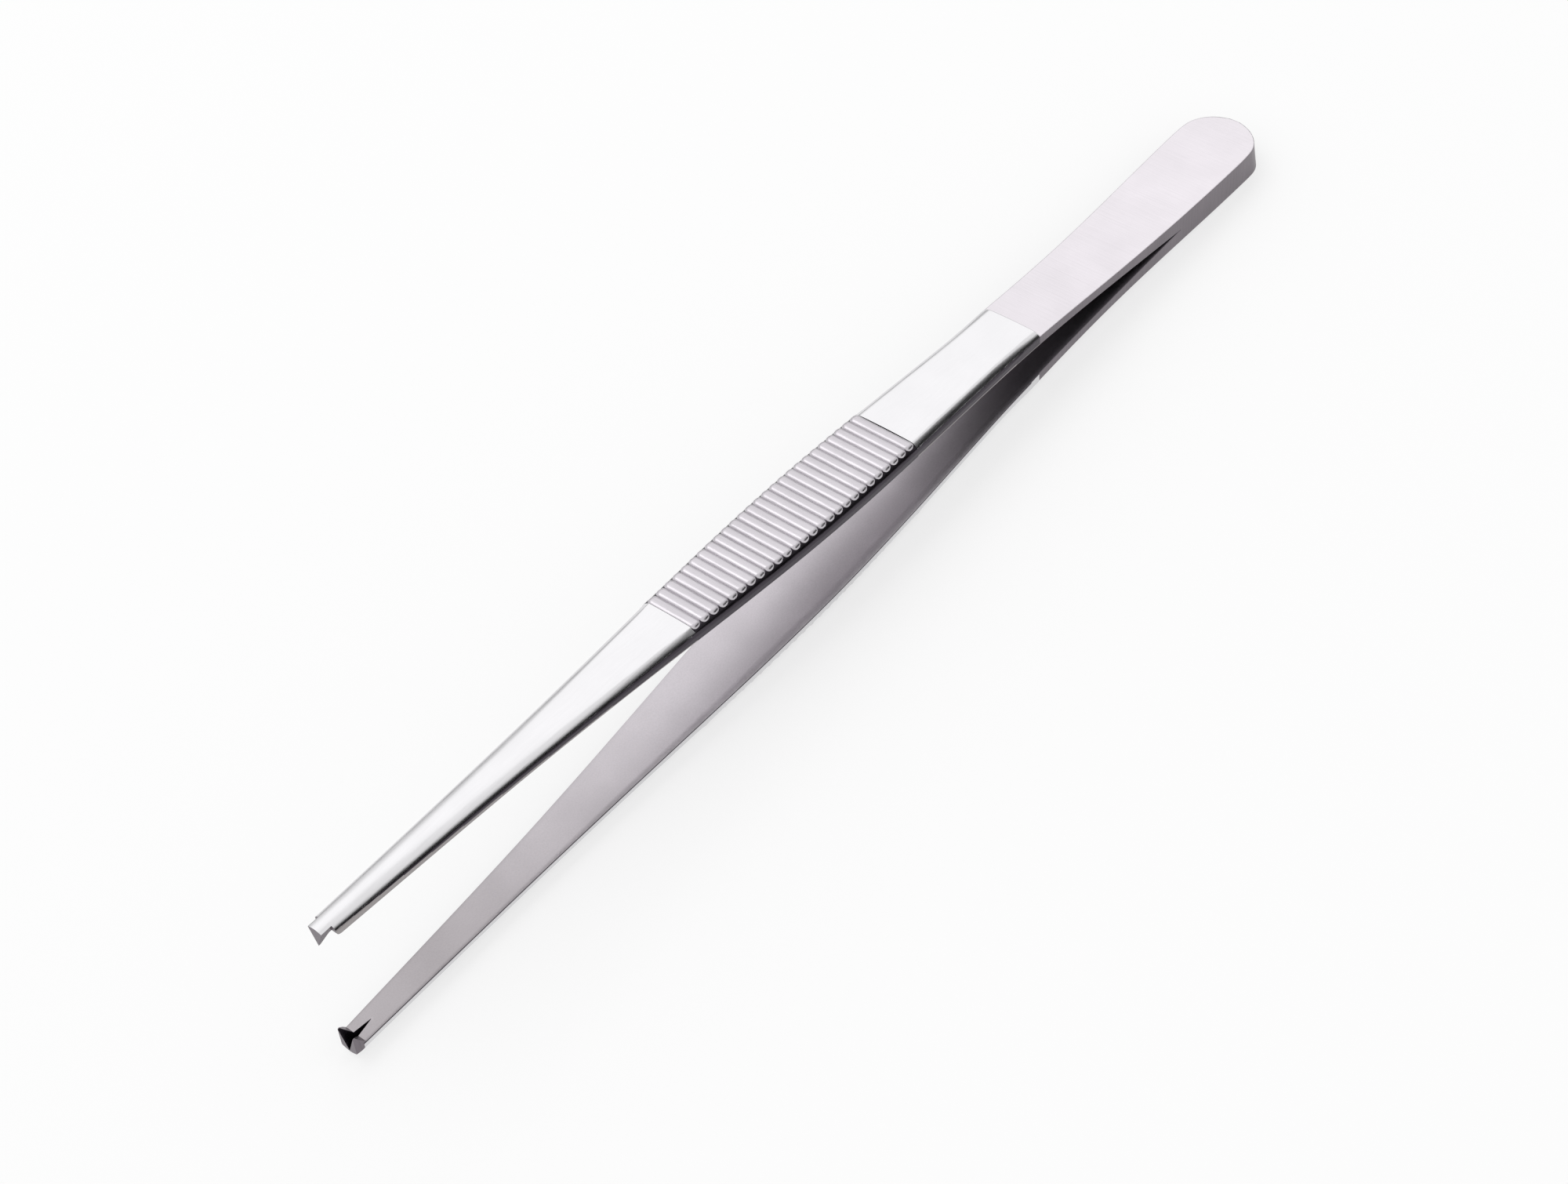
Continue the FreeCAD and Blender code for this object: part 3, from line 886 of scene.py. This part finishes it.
def polished_steel(name):
    """Body and nose: polished on a wheel, a soft mirror with faint lines along the arm."""
    return ground_steel(name, bpy.context.scene.forceps_colours.polish, roughness=0.22, spread=0.03,
                        line_size=(14 * MM, 0.25 * MM, 0.25 * MM), line_depth=0.15,
                        line_tint=0.03, mottle=0.03)


def rib_steel(name):
    """Ribs: coined in the die and brushed over, so that crests shine and grooves stay dark."""
    return ground_steel(name, bpy.context.scene.forceps_colours.ribs, roughness=0.31, spread=0.05,
                        line_size=(0.2 * MM, 2 * MM, 2 * MM), line_depth=0.4,
                        line_tint=0.08, mottle=0.06)


def side_painted_shade_steel(name):
    """Side of grip and body, bed of the ribs and notch: painted shade, a dark tone that stands in for the shade
    and dark reflections there, with a dull shine.
    """
    return ground_steel(name, bpy.context.scene.forceps_colours.side_painted_shade, roughness=0.30, spread=0.05,
                        line_size=(3 * MM, 0.25 * MM, 0.25 * MM), line_depth=0.3,
                        line_tint=0.14, mottle=0.12)


# In the order of the material slots
FINISHES = (
    ("Stainless steel, belt ground edge", ground_edge_and_painted_shade),
    ("Stainless steel, satin blasted", satin_steel),
    ("Stainless steel, cross brushed", heel_steel),
    ("Stainless steel, satin strip", strip_steel),
    ("Stainless steel, polished", polished_steel),
    ("Stainless steel, coined ribs", rib_steel),
    # Painted shade for sides, bed and notch
    ("Stainless steel, forged side", side_painted_shade_steel),
)


class FORCEPS_OT_upper_arm(bpy.types.Operator):
    """Models the upper arm, which ends in the single tooth"""
    bl_idname = "forceps.upper_arm"
    bl_label = "Upper Arm"

    def execute(self, context):
        arm = model_arm("upper_arm_single_tooth", shape_single_tooth, (0.5, 1.0), False)
        lay_down(arm, "upper_arm")
        return {"FINISHED"}


class FORCEPS_OT_lower_arm(bpy.types.Operator):
    """Models the lower arm, the upper one's mirror image with two teeth"""
    bl_idname = "forceps.lower_arm"
    bl_label = "Lower Arm"

    def execute(self, context):
        arm = model_arm("lower_arm_twin_teeth", shape_twin_teeth, (0.5, 0.0), True)
        arm.data.transform(Matrix.Scale(-1, 4, Vector((0, 0, 1))))
        pick(arm)
        bpy.ops.object.mode_set(mode="EDIT")
        finish_edit()
        lay_down(arm, "lower_arm")
        return {"FINISHED"}


def soft_box(name, centre, size, radiance):
    """A square lamp that faces the forceps. At a radiance of 1 it looks as bright as white paper."""
    deselect_all()
    aim = Vector(centre).to_track_quat("Z", "Y").to_euler()
    bpy.ops.object.light_add(type="AREA", location=centre, rotation=aim)
    lamp = bpy.context.object
    lamp.name = name
    lamp.data.shape = "SQUARE"
    lamp.data.size = size
    lamp.data.energy = radiance * math.pi * size ** 2


def upright_card(name, distance, azimuth, width, height, shade):
    """A card that stands on the table out of view and faces the forceps.

    Polished steel is only as dark as what it mirrors: without cards its rounded edges vanish.
    """
    deselect_all()
    centre = Vector((distance * math.cos(azimuth), distance * math.sin(azimuth), height / 2))
    upright = (math.radians(90), 0, azimuth + math.radians(90))
    bpy.ops.mesh.primitive_plane_add(size=1, location=centre, rotation=upright)
    card = bpy.context.object
    card.name = name
    card.scale = (width, height, 1)
    card.data.materials.append(matt_card(name, shade))
    card.visible_camera = False
    card.visible_diffuse = False
    card.visible_shadow = False


class FORCEPS_OT_studio(bpy.types.Operator):
    """Sets the forceps on white paper under soft lamps, with the camera"""
    bl_idname = "forceps.studio"
    bl_label = "Studio"

    def execute(self, context):
        studio = context.scene.forceps_studio
        deselect_all()
        bpy.ops.mesh.primitive_plane_add(size=studio.floor_size)
        floor = context.object
        floor.name = "paper"
        floor.data.materials.append(paper(studio.floor_colour, studio.floor_glow))
        world = bpy.data.worlds.new("Studio")
        context.scene.world = world
        light_the_room(world)
        soft_box("Overhead", (0.42, 0.38, 0.62), 0.75, 0.3)
        soft_box("High", (-0.10, 0.40, 0.80), 0.5, 1.1)
        upright_card("Black_card", studio.card_distance, math.radians(-59), 1.3, 1.4, 0.015)
        upright_card("Grey_card", studio.card_distance, math.radians(42), 1.4, 0.30, 0.45)
        camera_data = bpy.data.cameras.new("Camera")
        camera_data.lens = studio.lens
        camera_data.sensor_width = 36.0
        camera_data.clip_start = 0.01
        camera = bpy.data.objects.new("Camera", camera_data)
        camera.location = (-0.140293, -0.127734, 0.219654)
        camera.rotation_euler = [math.radians(turn) for turn in (39.8027, 4.9273, -51.5352)]
        context.scene.collection.objects.link(camera)
        context.scene.camera = camera
        context.scene.view_settings.view_transform = "Standard"
        return {"FINISHED"}


def paper(colour_value, glow_share):
    """Matt white paper. Where it is seen, a share of even white keeps the background as pale as
    the photograph's, and the rest holds the forceps' soft shadow."""
    material = new_material("White paper")
    tree = material.node_tree
    rays = add_node(tree, "ShaderNodeLightPath").outputs
    seen = rays["Is Camera Ray"]
    for kind in ("Is Glossy Ray", "Is Transmission Ray"):
        both = add_node(tree, "ShaderNodeMath", {"operation": "MAXIMUM"})
        tree.links.new(seen, both.inputs[0])
        tree.links.new(rays[kind], both.inputs[1])
        seen = both.outputs[0]
    share = add_node(tree, "ShaderNodeMath", {"operation": "MULTIPLY"})
    tree.links.new(seen, share.inputs[0])
    share.inputs[1].default_value = glow_share
    matt = add_node(tree, "ShaderNodeBsdfDiffuse", {"Color": (*colour_value, 1.0)})
    glow = add_node(tree, "ShaderNodeEmission", {"Color": (1.0, 1.0, 1.0, 1.0), "Strength": 1.0})
    mixed = add_node(tree, "ShaderNodeMixShader")
    tree.links.new(share.outputs[0], mixed.inputs[0])
    tree.links.new(matt.outputs[0], mixed.inputs[1])
    tree.links.new(glow.outputs[0], mixed.inputs[2])
    add_node(tree, "ShaderNodeOutputMaterial", links={"Surface": mixed.outputs[0]})
    return material


def matt_card(name, shade):
    """Matt card that thins out towards its top, so that it fades softly in what mirrors it."""
    material = new_material(name)
    tree = material.node_tree
    place = add_node(tree, "ShaderNodeTexCoord").outputs["UV"]
    height = add_node(tree, "ShaderNodeSeparateXYZ", links={"Vector": place})
    fade = add_node(tree, "ShaderNodeMapRange", {
        "interpolation_type": "SMOOTHSTEP", "From Min": 0.25, "From Max": 1.0,
    }, {"Value": height.outputs["Y"]})
    matt = add_node(tree, "ShaderNodeBsdfDiffuse", {"Color": (shade, shade, shade, 1.0)})
    clear = add_node(tree, "ShaderNodeBsdfTransparent")
    mixed = add_node(tree, "ShaderNodeMixShader")
    tree.links.new(fade.outputs["Result"], mixed.inputs[0])
    tree.links.new(matt.outputs[0], mixed.inputs[1])
    tree.links.new(clear.outputs[0], mixed.inputs[2])
    add_node(tree, "ShaderNodeOutputMaterial", links={"Surface": mixed.outputs[0]})
    return material


def light_the_room(world):
    """An evenly pale room, which lights the forceps from all sides."""
    world.use_nodes = True
    tree = world.node_tree
    tree.nodes.clear()
    background = add_node(tree, "ShaderNodeBackground", {"Color": (1.0, 1.0, 1.0, 1.0), "Strength": 1.0})
    add_node(tree, "ShaderNodeOutputWorld", links={"Surface": background.outputs[0]})


class FORCEPS_PT_panel(bpy.types.Panel):
    bl_label = "Toothed Thumb Forceps"
    bl_idname = "FORCEPS_PT_panel"
    bl_space_type = "VIEW_3D"
    bl_region_type = "UI"
    bl_category = "Forceps"

    def draw(self, context):
        for operator in (FORCEPS_OT_upper_arm, FORCEPS_OT_lower_arm, FORCEPS_OT_studio):
            self.layout.operator(operator.bl_idname)
        scene = context.scene
        for group in (scene.forceps_colours, scene.forceps_sizes, scene.forceps_studio):
            box = self.layout.box()
            for key in group.__annotations__:
                box.prop(group, key)


CLASSES = (
    ForcepsSizes,
    SteelColours,
    StudioSettings,
    FORCEPS_OT_upper_arm,
    FORCEPS_OT_lower_arm,
    FORCEPS_OT_studio,
    FORCEPS_PT_panel,
)


def register():
    for cls in CLASSES:
        bpy.utils.register_class(cls)
    bpy.types.Scene.forceps_sizes = PointerProperty(type=ForcepsSizes)
    bpy.types.Scene.forceps_colours = PointerProperty(type=SteelColours)
    bpy.types.Scene.forceps_studio = PointerProperty(type=StudioSettings)


def unregister():
    del bpy.types.Scene.forceps_studio
    del bpy.types.Scene.forceps_colours
    del bpy.types.Scene.forceps_sizes
    for cls in reversed(CLASSES):
        bpy.utils.unregister_class(cls)


def main():
    register()
    bpy.ops.forceps.upper_arm()
    bpy.ops.forceps.lower_arm()
    bpy.ops.forceps.studio()


if __name__ == "__main__":
    main()
